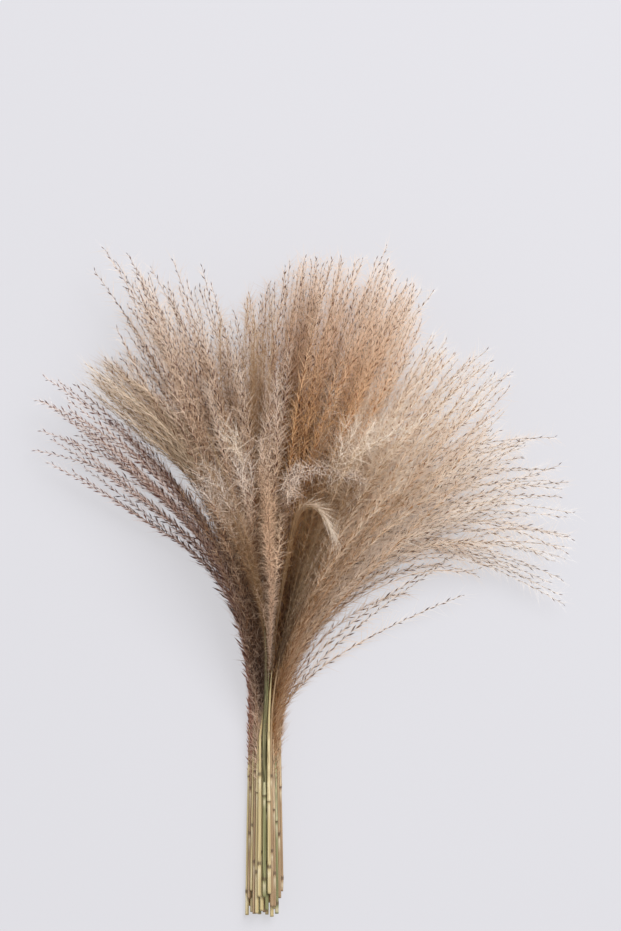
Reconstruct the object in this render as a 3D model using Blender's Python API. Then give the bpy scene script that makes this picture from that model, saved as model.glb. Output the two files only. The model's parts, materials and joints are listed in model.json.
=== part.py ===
# A bundle of dried reed, laid down: forty cut stems, each grown in one piece with its plume.
# The stems lie close together in a shallow heap that is narrowest at the waist. Past the
# waist the plumes spread into a wide fan that is a dome from the side and flat underneath.
# Metres, +Z up. The cut ends point to -Y and the fan to +Y, and the bundle lies on z = 0.

import math
import random

import bmesh
import bpy
from mathutils import Matrix, Vector

# Stems, side by side at the waist.
STEM_DIAMETER = 0.0024
STEM_PITCH = 0.0027
ROW_RISE = STEM_PITCH * math.sqrt(3) / 2
STEM_BELOW_WAIST = 0.105
CUT_STAGGER = 0.010
CUT_SPLAY = 0.16

# The heap, from the surface that it lies on to its top: the name of each row and its stems.
ROWS = (
    ("bottom", 7),
    ("lower", 8),
    ("lower_middle", 7),
    ("middle", 6),
    ("upper_middle", 5),
    ("upper", 4),
    ("top", 3),
)

# The fan from above. A stem's place is counted in stem pitches from the middle of its row.
# For each place there is its heading, in degrees from +Y towards +X, at each distance past
# the waist. The left side rises before it leans out, with a gap between the two groups that
# lean there, and the right edge arches right over.
HEADING_STATIONS = (0.000, 0.030, 0.070, 0.120, 0.200, 0.320)
HEADINGS = (
    (-3.5, (0, -9, -19, -46, -53, -58)),
    (-2.5, (0, -7, -14, -33, -43, -52)),
    (-2.0, (0, -5, -9, -17, -38, -52)),
    (-1.5, (0, -4, -8, -14, -25, -36)),
    (0.0, (0, 0, 0, 1, 3, 6)),
    (1.5, (0, 10, 17, 21, 26, 33)),
    (2.5, (0, 18, 31, 38, 50, 66)),
    (3.5, (0, 26, 42, 56, 104, 140)),
)

# How far the tip of the plume is past the waist, along the reed, for each place.
REACHES = (
    (-3.5, 0.243),
    (-2.5, 0.268),
    (-1.5, 0.310),
    (-0.5, 0.300),
    (0.0, 0.298),
    (1.0, 0.316),
    (2.0, 0.290),
    (3.5, 0.252),
)
REACH_VARIES = 0.035
EDGE_PLACE = 3.5

# The fan from the side. Rows part by ROW_LIFT metres a metre, which eases off over EASE_OFF.
ROW_LIFT = 0.110
LIFT_STARTS_OVER = 0.030
EASE_OFF = 0.220

# Plumes. Each fills part of the room between its neighbours.
PLUME_START = 0.008
PLUME_START_VARIES = 0.014
PLUME_FILL = 0.74
PLUME_WIDEST = 0.036
PLUME_SWELLS_BY = 0.42
PLUME_NARROWS_FROM = 0.70
PLUME_NARROWS_BY = 0.72
TIP_RADIUS = 0.0008

# The short fluffy reeds of the upper rows: place in the row, reach, plume start, greatest width.
SHORT_REEDS = {
    ("upper", 1): (0.268, 0.012, 0.030),
    ("upper", 2): (0.236, 0.016, 0.026),
    ("upper", 3): (0.178, 0.044, 0.022),
    ("upper", 4): (0.222, 0.038, 0.030),
    ("top", 1): (0.184, 0.018, 0.022),
    ("top", 2): (0.216, 0.050, 0.015),
    ("top", 3): (0.170, 0.056, 0.018),
}

# Cross-sections: where they are along every reed, so that neighbours bend alike.
SECTION_SIDES = 8
SECTION_STATIONS = (
    *(-0.060, -0.020, 0.000, 0.010, 0.020, 0.032, 0.046, 0.062, 0.080, 0.100, 0.120),
    *(0.140, 0.160, 0.180, 0.200, 0.220, 0.245, 0.270, 0.295),
)
LAST_SECTION_GAP = 0.008
PATH_STEP = 0.002
PATH_LENGTH = 0.36

SEED = 7

# Tones of the reeds, from the left edge of the fan to the right: linear colour and roughness.
TONES = {
    "purple_brown_reed": ((0.150, 0.090, 0.080, 1), 0.80),
    "dusky_buff_reed": ((0.270, 0.190, 0.140, 1), 0.82),
    "buff_reed": ((0.400, 0.290, 0.200, 1), 0.84),
    "golden_reed": ((0.390, 0.230, 0.120, 1), 0.84),
    "pale_golden_reed": ((0.510, 0.370, 0.240, 1), 0.85),
    "pale_reed": ((0.600, 0.480, 0.370, 1), 0.86),
    "cream_reed": ((0.640, 0.530, 0.400, 1), 0.88),
}
TONE_UP_TO_PLACE = (
    (-2.5, "purple_brown_reed"),
    (-1.6, "buff_reed"),
    (-0.4, "dusky_buff_reed"),
    (1.2, "golden_reed"),
    (2.2, "pale_golden_reed"),
    (3.5, "pale_reed"),
)
OWN_TONES = {
    ("upper_middle", 3): "cream_reed",
    ("upper", 3): "dusky_buff_reed",
    ("upper", 4): "cream_reed",
    ("top", 1): "cream_reed",
    ("top", 2): "dusky_buff_reed",
    ("top", 3): "cream_reed",
}


def clear_scene():
    for obj in list(bpy.data.objects):
        bpy.data.objects.remove(obj, do_unlink=True)


def between(table, key):
    """The value at key in rows of (key, value or values), on straight lines between the rows."""
    for (low, low_value), (high, high_value) in zip(table, table[1:]):
        if key <= high:
            share = max(0.0, (key - low) / (high - low))
            if isinstance(low_value, tuple):
                return tuple(a + (b - a) * share for a, b in zip(low_value, high_value))
            return low_value + (high_value - low_value) * share
    return table[-1][1]


def smooth(share):
    share = min(1.0, max(0.0, share))
    return share * share * (3 - 2 * share)


def heading(place, along):
    """Radians from +Y towards +X."""
    stations = tuple(zip(HEADING_STATIONS, between(HEADINGS, place)))
    return math.radians(between(stations, along))


def plan_path(place):
    """Points (x, y) every PATH_STEP past the waist."""
    points = [Vector((place * STEM_PITCH, 0.0))]
    for step in range(round(PATH_LENGTH / PATH_STEP)):
        turn = heading(place, (step + 0.5) * PATH_STEP)
        points.append(points[-1] + PATH_STEP * Vector((math.sin(turn), math.cos(turn))))
    return points


def plan_point(path, along):
    """A point of the reed seen from above. Before the waist the stems splay a little."""
    if along <= 0:
        splay = 1 + CUT_SPLAY * smooth(-along / STEM_BELOW_WAIST)
        return Vector((path[0].x * splay, along))
    step = min(int(along / PATH_STEP), len(path) - 2)
    return path[step].lerp(path[step + 1], along / PATH_STEP - step)


def row_spacing(along):
    """Height from one row to the next, which grows past the waist."""
    if along <= 0:
        return ROW_RISE * (1 + CUT_SPLAY * smooth(-along / STEM_BELOW_WAIST))
    height = ROW_RISE
    for step in range(int(along / PATH_STEP)):
        at = (step + 0.5) * PATH_STEP
        height += PATH_STEP * ROW_LIFT * smooth(at / LIFT_STARTS_OVER) * math.exp(-at / EASE_OFF)
    return height


class Reed:
    """One reed: its centre line, and the section of its stem and plume along it."""

    def __init__(self, row, row_name, number, place, varied):
        self.row = row
        self.name = f"reed_{row_name}_{number}"
        self.place = place
        self.path = plan_path(place)
        self.beside = [plan_path(place + step) for step in (-0.5, 0.5) if abs(place + step) <= EDGE_PLACE]
        self.cut = -STEM_BELOW_WAIST + varied.uniform(-1, 1) * CUT_STAGGER
        self.reach = between(REACHES, place) * (1 - REACH_VARIES * varied.random())
        self.plume_start = PLUME_START + varied.uniform(-1, 1) * PLUME_START_VARIES
        self.widest = PLUME_WIDEST
        if (row_name, number) in SHORT_REEDS:
            self.reach, self.plume_start, self.widest = SHORT_REEDS[row_name, number]
        usual = next(tone for limit, tone in TONE_UP_TO_PLACE if place <= limit)
        self.tone = OWN_TONES.get((row_name, number), usual)

    def fullness(self, along):
        """0 on the bare stem and at the tip, 1 where the plume is fullest."""
        share = (along - self.plume_start) / (self.reach - self.plume_start)
        swelling = smooth(share / PLUME_SWELLS_BY)
        narrowing = smooth((share - PLUME_NARROWS_FROM) / (1 - PLUME_NARROWS_FROM))
        return swelling * (1 - PLUME_NARROWS_BY * narrowing)

    def half_sizes(self, along):
        """Half the width and half the thickness of the section."""
        stem = STEM_DIAMETER / 2
        if along <= self.plume_start:
            return stem, stem
        here = plan_point(self.path, along)
        turn = heading(self.place, along)
        side = Vector((math.cos(turn), -math.sin(turn)))
        room = min(abs((plan_point(path, along) - here).dot(side)) for path in self.beside)
        thickness_room = row_spacing(along) / math.sqrt(3)
        full = self.fullness(along)
        width = stem + (min(PLUME_FILL * room, self.widest / 2) - stem) * full
        thickness = stem + (PLUME_FILL * thickness_room - stem) * full
        return max(stem, width), max(stem, thickness)

    def centre(self, along):
        """The bottom row rests on z = 0, and each row above keeps its distance from the last."""
        point = plan_point(self.path, along)
        if self.row == 0:
            return Vector((*point, self.half_sizes(along)[1]))
        spacing = row_spacing(along)
        first = STEM_DIAMETER / 2
        if along > 0:
            first += (spacing - ROW_RISE) * PLUME_FILL / math.sqrt(3)
        return Vector((*point, first + self.row * spacing))

    def stations(self):
        inside = [s for s in SECTION_STATIONS if self.cut < s < self.reach - LAST_SECTION_GAP]
        return [self.cut, *inside, self.reach]


def reed_mesh(reed):
    """A closed skin over the reed's sections, with the cut end flat."""
    mesh = bmesh.new()
    rings = []
    stations = reed.stations()
    for along in stations:
        centre = reed.centre(along)
        ahead = reed.centre(along + PATH_STEP) - reed.centre(along - PATH_STEP)
        forward = ahead.normalized()
        side = forward.cross(Vector((0, 0, 1))).normalized()
        above = side.cross(forward)
        half_width, half_thickness = reed.half_sizes(along)
        if along == reed.reach:
            half_width = half_thickness = TIP_RADIUS
        half_thickness *= above.z  # a sloping reed keeps the same height, so the rows stay clear
        ring = []
        for corner in range(SECTION_SIDES):
            angle = (corner + 0.5) * math.tau / SECTION_SIDES
            offset = side * math.cos(angle) * half_width + above * math.sin(angle) * half_thickness
            ring.append(mesh.verts.new(centre + offset))
        rings.append(ring)
    for ring, following in zip(rings, rings[1:]):
        for corner in range(SECTION_SIDES):
            beside = (corner + 1) % SECTION_SIDES
            mesh.faces.new((ring[corner], ring[beside], following[beside], following[corner]))
    mesh.faces.new(rings[0])
    mesh.faces.new(rings[-1])
    bmesh.ops.recalc_face_normals(mesh, faces=mesh.faces)
    data = bpy.data.meshes.new(reed.name)
    mesh.to_mesh(data)
    mesh.free()
    data.shade_smooth()
    data.set_sharp_from_angle(angle=math.radians(50))
    return data


def reed_material(reed):
    colour, roughness = TONES[reed.tone]
    material = bpy.data.materials.new(reed.name)
    material.use_nodes = True
    surface = material.node_tree.nodes["Principled BSDF"]
    surface.inputs["Base Color"].default_value = colour
    surface.inputs["Roughness"].default_value = roughness
    surface.inputs["Metallic"].default_value = 0.0
    return material


def grown_reeds():
    varied = random.Random(SEED)
    reeds = []
    for row, (row_name, count) in enumerate(ROWS):
        for number in range(1, count + 1):
            place = number - (count + 1) / 2
            reeds.append(Reed(row, row_name, number, place, varied))
    return reeds


def build_bundle():
    bundle = bpy.data.objects.new("bundle", None)
    bpy.context.scene.collection.objects.link(bundle)
    objects = []
    for reed in grown_reeds():
        obj = bpy.data.objects.new(reed.name, reed_mesh(reed))
        obj.data.materials.append(reed_material(reed))
        obj.parent = bundle
        bpy.context.scene.collection.objects.link(obj)
        objects.append(obj)
    corners = [vertex.co for obj in objects for vertex in obj.data.vertices]
    low = Vector(map(min, zip(*corners)))
    high = Vector(map(max, zip(*corners)))
    # The origin is the middle of the bundle's box, on the surface that it lies on.
    bundle.matrix_world = Matrix.Translation((-(low.x + high.x) / 2, -(low.y + high.y) / 2, -low.z))
    print("box", [round(v * 1000, 1) for v in high - low], "waist at", list(bundle.location))
    print("triangles", sum(2 * len(o.data.polygons) + 2 * (SECTION_SIDES - 4) for o in objects))


clear_scene()
build_bundle()
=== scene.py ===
import json
import math

import bmesh
import bpy
import numpy as np
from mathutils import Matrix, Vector


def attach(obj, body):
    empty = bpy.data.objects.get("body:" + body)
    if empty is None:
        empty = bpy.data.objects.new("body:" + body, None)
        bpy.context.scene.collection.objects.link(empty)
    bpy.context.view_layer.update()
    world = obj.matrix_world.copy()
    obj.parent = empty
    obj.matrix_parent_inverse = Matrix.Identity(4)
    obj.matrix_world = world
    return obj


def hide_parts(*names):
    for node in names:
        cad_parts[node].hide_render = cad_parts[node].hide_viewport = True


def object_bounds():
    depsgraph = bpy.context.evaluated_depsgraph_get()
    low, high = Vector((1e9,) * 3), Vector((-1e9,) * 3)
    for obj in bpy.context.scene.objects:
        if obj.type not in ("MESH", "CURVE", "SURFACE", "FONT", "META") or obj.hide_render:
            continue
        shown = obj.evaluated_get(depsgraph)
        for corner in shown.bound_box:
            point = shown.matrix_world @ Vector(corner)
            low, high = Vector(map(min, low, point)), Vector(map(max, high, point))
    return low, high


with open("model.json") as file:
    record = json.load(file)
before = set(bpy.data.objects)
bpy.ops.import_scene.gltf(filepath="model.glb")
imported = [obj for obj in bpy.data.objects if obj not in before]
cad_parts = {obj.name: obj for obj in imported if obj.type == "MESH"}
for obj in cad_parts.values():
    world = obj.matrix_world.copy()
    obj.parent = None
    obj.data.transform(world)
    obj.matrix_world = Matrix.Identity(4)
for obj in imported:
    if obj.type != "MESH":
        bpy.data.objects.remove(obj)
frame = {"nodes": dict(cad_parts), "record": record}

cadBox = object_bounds()
scene = bpy.context.scene
slotOf = {part["node"]: part["material_slot"] for part in frame["record"]["subparts"]}
up = np.array((0.0, 0.0, 1.0))
mm = 0.001
goldenAngle = 2.39996  # in radians: turned on by this, branches never line up
goldenShare = 0.618  # steps of this spread evenly between 0 and 1
print("frame loaded:", len(frame["nodes"]), "reeds")

studio = {
    "floorColour": "#76767b",
    "floorGlow": 0.6,
    "floorSize": 6.0,
    "cameraHeight": 2.6,
    "sensor": 36,  # in millimetres
    "viewHeight": 0.5745,  # how much of the floor the camera takes in, from top to bottom
    "aimPastMiddle": (0.0, 0.0745),  # where it looks, from the bundle's middle
    "skyColour": "#f0eff2",
    "skyStrength": 0.66,
    "keyPlace": (0.9, 1.1, 2.1),
    "keySize": 1.3,
    "keyPower": 58.0,
    "fillPlace": (-1.6, -0.2, 1.5),
    "fillSize": 2.2,
    "fillPower": 5.0,
}


def linear(hexColour):  # an sRGB hex colour as Blender wants it
    channels = [int(hexColour[i:i + 2], 16) / 255 for i in (1, 3, 5)]
    return (*[c / 12.92 if c <= 0.04045 else ((c + 0.055) / 1.055) ** 2.4 for c in channels], 1.0)


def addNode(tree, kind, inputs=None, **settings):
    node = tree.nodes.new(kind)
    for name, value in settings.items():
        setattr(node, name, value)
    for key, value in (inputs or {}).items():
        if isinstance(value, bpy.types.NodeSocket):
            tree.links.new(value, node.inputs[key])
        else:
            node.inputs[key].default_value = value
    return node


def addObject(name, data):
    obj = bpy.data.objects.new(name, data)
    scene.collection.objects.link(obj)
    return obj


def newMaterial(name, finish):
    material = bpy.data.materials.new(name)
    material.use_nodes = True
    surface = material.node_tree.nodes["Principled BSDF"]
    for socket, value in finish.items():
        surface.inputs[socket].default_value = value
    return material, material.node_tree, surface


def addSoftbox(name, place, aim, size, power):
    light = bpy.data.lights.new(name, "AREA")
    light.size = size
    light.energy = power
    lamp = addObject(name, light)
    lamp.location = place
    lamp.rotation_euler = (Vector(aim) - Vector(place)).to_track_quat("-Z", "Y").to_euler()


def buildStudio():
    middle = (Vector(cadBox[0]) + Vector(cadBox[1])) / 2
    half = studio["floorSize"] / 2
    corners = [(-half, -half, 0), (half, -half, 0), (half, half, 0), (-half, half, 0)]
    sheet = bpy.data.meshes.new("floor")
    sheet.from_pydata(corners, [], [(0, 1, 2, 3)])
    # matt paper: one even tone with no gloss. It glows a little, as a lit backdrop does, so that
    # the shadows on it stay light.
    paper, _, _ = newMaterial("seamlessPaper", {
        "Base Color": linear(studio["floorColour"]),
        "Roughness": 0.9,
        "Specular IOR Level": 0.2,
        "Emission Color": linear(studio["skyColour"]),
        "Emission Strength": studio["floorGlow"],
    })
    sheet.materials.append(paper)
    addObject("floor", sheet)

    world = bpy.data.worlds.new("softRoom")
    world.use_nodes = True
    sky = world.node_tree.nodes["Background"]
    sky.inputs["Color"].default_value = linear(studio["skyColour"])
    sky.inputs["Strength"].default_value = studio["skyStrength"]
    scene.world = world
    addSoftbox("keySoftbox", studio["keyPlace"], middle, studio["keySize"], studio["keyPower"])
    addSoftbox("fillSoftbox", studio["fillPlace"], middle, studio["fillSize"], studio["fillPower"])

    lens = bpy.data.cameras.new("camera")
    lens.sensor_width = studio["sensor"]
    lens.lens = lens.sensor_width * (studio["cameraHeight"] - middle.z) / studio["viewHeight"]
    camera = addObject("camera", lens)
    across, past = studio["aimPastMiddle"]
    camera.location = (middle.x + across, middle.y + past, studio["cameraHeight"])
    scene.camera = camera
    scene.view_settings.view_transform = "Standard"
    print("studio built")


# What the solid says about each reed: its centre line, and the room that its plume may take.
reading = {
    "step": 2 * mm,
    "flatEnd": 0.01 * mm,  # corners this near the first one are on the cut end
    "reach": 60 * mm,  # what is further off is another part of the solid
    "fewest": 6,  # a slice that crosses fewer edges is past the tip
    "easedOver": 7,  # steps each way
    "pastTip": 30 * mm,
    "stemRadius": 1.2 * mm,
    "waistPastEnd": 114.5 * mm,  # the waist is where the bundle is narrowest
}


def unit(vectors):
    return vectors / np.linalg.norm(vectors, axis=-1, keepdims=True)


def smooth(share):
    share = np.clip(share, 0, 1)
    return share * share * (3 - 2 * share)


def columnsAt(along, stations, table):
    return np.stack([np.interp(along, stations, column) for column in table.T], -1)


class Reed:
    def __init__(self, node):
        self.name = node.name
        self.slot = slotOf[node.name]
        centres, halves = self.walkAlong(node.data)
        past = reading["pastTip"]
        self.length = reading["step"] * (len(centres) - 1)
        self.stations = np.arange(0, self.length + past, reading["step"])
        known = reading["step"] * np.arange(len(centres))
        centres = np.vstack([centres, centres[-1] + unit(centres[-1] - centres[-4]) * past])
        centres = columnsAt(self.stations, np.append(known, known[-1] + past), centres)
        self.centres = self.eased(centres)
        self.halves = columnsAt(self.stations, known, halves)
        waist = cadBox[0][1] + reading["waistPastEnd"]
        self.waist = self.stations[np.searchsorted(self.centres[:, 1], waist)]

    def walkAlong(self, mesh):
        # from the cut end, slice the solid across every step and move on from the slice's middle
        corners = np.array([vertex.co for vertex in mesh.vertices])
        ends = np.array([edge.vertices[:] for edge in mesh.edges])
        heads, tails = corners[ends[:, 0]], corners[ends[:, 1]]
        cutEnd = corners[corners[:, 1] < corners[:, 1].min() + reading["flatEnd"]]
        centre = (cutEnd.min(axis=0) + cutEnd.max(axis=0)) / 2
        ahead = np.array((0.0, 1.0, 0.0))
        centres, halves = [centre], [(reading["stemRadius"],) * 2]
        while True:
            plane = centre + ahead * reading["step"]
            before, after = (heads - plane) @ ahead, (tails - plane) @ ahead
            crossed = before * after < 0
            share = before[crossed] / (before[crossed] - after[crossed])
            cut = heads[crossed] + (tails[crossed] - heads[crossed]) * share[:, None] - plane
            cut = cut[np.linalg.norm(cut, axis=1) < reading["reach"]]
            if len(cut) < reading["fewest"]:
                return np.array(centres), np.array(halves)
            side = unit(np.cross(ahead, up))
            over = np.cross(side, ahead)
            across, above = cut @ side, cut @ over
            moved = plane + side * (across.max() + across.min()) / 2
            moved = moved + over * (above.max() + above.min()) / 2
            ahead = unit(ahead + unit(moved - centre))
            centre = moved
            centres.append(centre)
            halves.append(((across.max() - across.min()) / 2, (above.max() - above.min()) / 2))

    def eased(self, centres):
        # the solid is faceted along its length, so its centre line is eased over a few steps
        steps = reading["easedOver"]
        weights = np.hanning(2 * steps + 1)
        weights = weights / weights.sum()
        padded = np.pad(centres, ((steps, steps), (0, 0)), mode="reflect", reflect_type="odd")
        return np.stack([np.convolve(column, weights, mode="valid") for column in padded.T], 1)

    def at(self, along):
        centre = columnsAt(along, self.stations, self.centres)
        following = columnsAt(along + reading["step"], self.stations, self.centres)
        ahead = unit(following - centre + up * 1e-9)  # beyond the last station it has no length
        side = unit(np.cross(ahead, up))
        return centre, ahead, side, np.cross(side, ahead)


# How each kind of reed grows. Lengths are in millimetres and angles in degrees. Start is where
# the plume begins past the waist. Spread is times the room that the solid gives the plume, and
# springOver, rounding and ragged are shares of its length: over how much of it branches leave the
# stem, how much sooner the outer ones end, and how much sooner any one may end. Sway is how far
# they wander. Real hairs are finer than these, but they would only blur together, so each of
# these stands for a small lock of them.
usualWay = {
    "strays": 0.15,  # the share of branches that stand off from the others
    "cut": 0,  # how much shorter than its solid the plume is
    "lean": (0, 0),  # how far its tip is moved, across and past
    "rise": (0, 0),  # the same for its middle
    "swell": ((0, 1), (1, 1)),  # shares of the plume, and how large seeds and hairs are there
    "toneAt": (0.05, 0.2, 0.55, 0.85),  # the shares of the plume that tone has its values for
    "lone": (),  # branches that leave the others
    "loneLighter": 0,
}
habits = {
    "purple_brown_reed": {
        "start": (-60, -34), "branches": 5, "springOver": 0.26, "spread": 1.7, "rounding": 0.04,
        "ragged": 0.2, "sway": 6.0, "Spikelet Every": 2.6, "Spikelet Long": 5.6,
        "Spikelet Wide": 0.84, "Spikelet Splay": (14, 38), "Hair Every": 0.72, "Hair Long": 7.5,
        "Hair Wide": 0.26, "Hair Splay": (6, 34), "strays": 0, "rise": (9, 4),
        "keep": ((0, 1), (1, 1)), "swell": ((0.1, 0.36, 0.6), (0.85, 1.5, 1.0)),
        "tone": (1.2, 0.0, 0.0, 0.7), "toneAt": (0.2, 0.42, 0.6, 0.85),
    },
    "dusky_buff_reed": {
        "start": (-60, -34), "branches": 20, "springOver": 0.36, "spread": 1.6, "rounding": 0.08,
        "ragged": 0.2, "sway": 12.0, "Spikelet Every": 3.7, "Spikelet Long": 5.2,
        "Spikelet Wide": 0.7, "Spikelet Splay": (6, 34), "Hair Every": 0.78, "Hair Long": 9.5,
        "Hair Wide": 0.37, "Hair Splay": (8, 56),
    },
    "buff_reed": {
        "start": (-60, -34), "branches": 19, "springOver": 0.36, "spread": 0.95, "rounding": 0.1,
        "ragged": 0.18, "rise": (9, 4), "sway": 4.0, "Spikelet Every": 4.4, "Spikelet Long": 4.8,
        "Spikelet Wide": 0.62, "Spikelet Splay": (6, 26), "Hair Every": 1.2, "Hair Long": 12.0,
        "Hair Wide": 0.38, "Hair Splay": (1, 24),
    },
    "golden_reed": {
        "start": (-48, -18), "branches": 22, "springOver": 0.42, "spread": 1.5, "rounding": 0.04,
        "ragged": 0.1, "sway": 16.0, "Spikelet Every": 4.4, "Spikelet Long": 4.8,
        "Spikelet Wide": 0.68, "Spikelet Splay": (6, 30), "Hair Every": 0.62, "Hair Long": 10.5,
        "Hair Wide": 0.32, "Hair Splay": (8, 60),
    },
    "pale_golden_reed": {
        "start": (-48, -20), "branches": 22, "springOver": 0.4, "spread": 1.65, "rounding": 0.08,
        "ragged": 0.22, "sway": 15.0, "Spikelet Every": 5.2, "Spikelet Long": 4.8,
        "Spikelet Wide": 0.66, "Spikelet Splay": (6, 32), "Hair Every": 0.62, "Hair Long": 10.5,
        "Hair Wide": 0.31, "Hair Splay": (6, 58),
    },
    "pale_reed": {
        "start": (-44, -14), "branches": 20, "springOver": 0.34, "spread": 1.75, "rounding": 0.1,
        "ragged": 0.28, "sway": 13.0, "Spikelet Every": 4.8, "Spikelet Long": 4.8,
        "Spikelet Wide": 0.66, "Spikelet Splay": (6, 32), "Hair Every": 0.62, "Hair Long": 11.0,
        "Hair Wide": 0.29, "Hair Splay": (6, 54),
    },
    "cream_reed": {
        "start": (-10, 10), "branches": 18, "springOver": 0.45, "spread": 1.5, "rounding": 0.12,
        "ragged": 0.14, "sway": 10.0, "Spikelet Every": 6.0, "Spikelet Long": 3.6,
        "Spikelet Wide": 0.6, "Spikelet Splay": (8, 34), "Hair Every": 0.9, "Hair Long": 11.0,
        "Hair Wide": 0.38, "Hair Splay": (4, 60),
    },
}
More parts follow.
